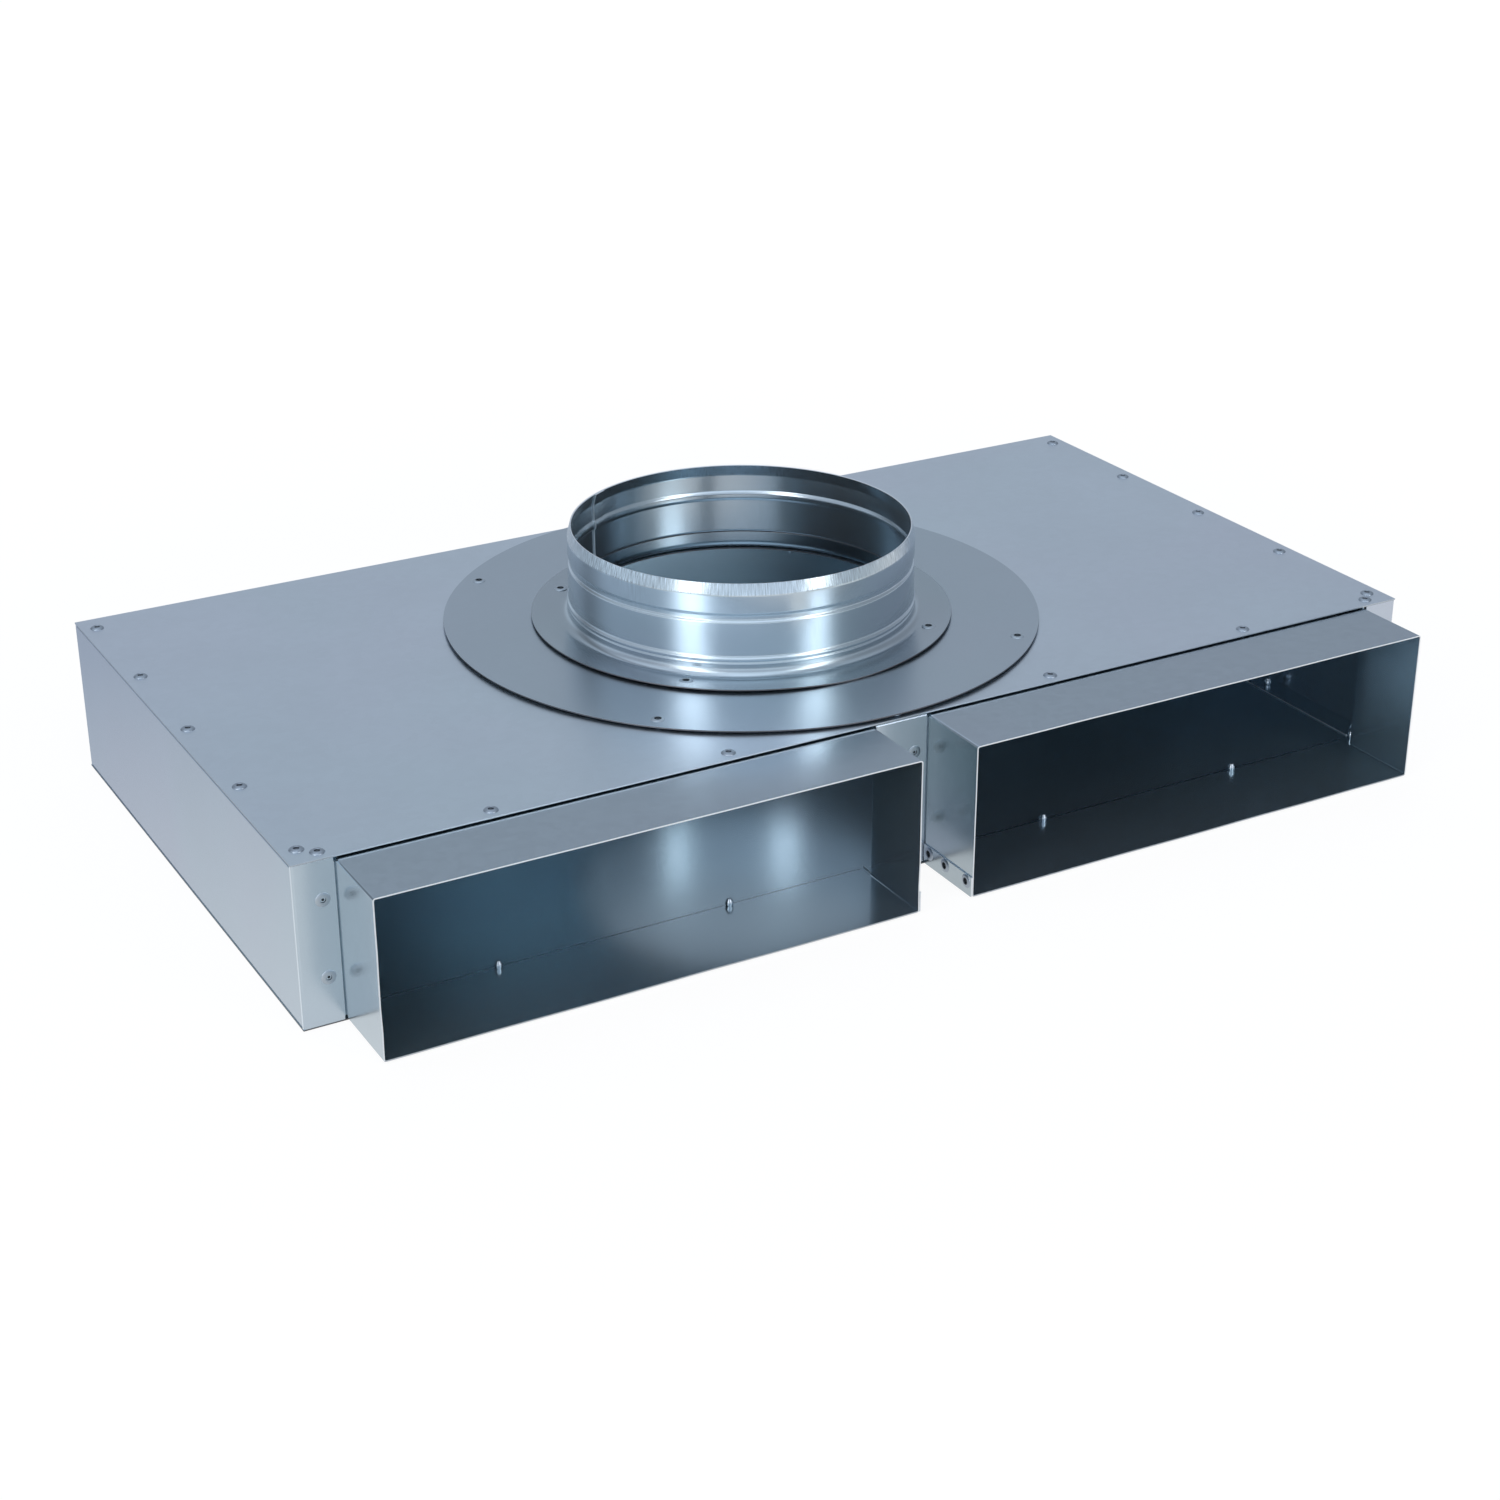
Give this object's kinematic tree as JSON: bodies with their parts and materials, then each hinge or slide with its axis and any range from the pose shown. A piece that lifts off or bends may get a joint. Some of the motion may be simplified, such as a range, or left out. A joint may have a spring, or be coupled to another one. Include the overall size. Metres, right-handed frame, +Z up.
{
  "type": "flat duct branch piece",
  "caption": "Shallow galvanised sheet box with a round collar on its lid and twin flat rectangular spigots on its front, riveted together.",
  "frame": {"origin": "centre of the underside of the bottom plate", "axes": "+Z up along the round collar, +X along the long front, the rectangular spigots point along -Y"},
  "size_m": [0.7, 0.4051, 0.1506],
  "materials": {
    "zinc_sheet": "bright hot-dip galvanised sheet, satin",
    "rivets": "plain steel blind rivets, satin"
  },
  "bodies": {
    "root": {"bottom_plate": "zinc_sheet", "top_plate": "zinc_sheet", "left_wall": "zinc_sheet", "right_wall": "zinc_sheet", "back_wall": "zinc_sheet", "centre_post": "zinc_sheet", "left_sleeve": "zinc_sheet", "right_sleeve": "zinc_sheet", "cover_disc": "zinc_sheet", "collar_flange": "zinc_sheet", "collar": "zinc_sheet", "lid_rivets_left": "rivets", "lid_rivets_right": "rivets", "lid_rivets_front": "rivets", "base_rivets_left": "rivets", "base_rivets_right": "rivets", "base_rivets_front": "rivets", "strip_rivets_left": "rivets", "strip_rivets_right": "rivets", "post_rivets": "rivets", "back_rivets_left": "rivets", "back_rivets_right": "rivets", "seam_rivets_left": "rivets", "seam_rivets_right": "rivets", "disc_rivets": "rivets", "flange_rivets": "rivets"}
  },
  "joints": []
}
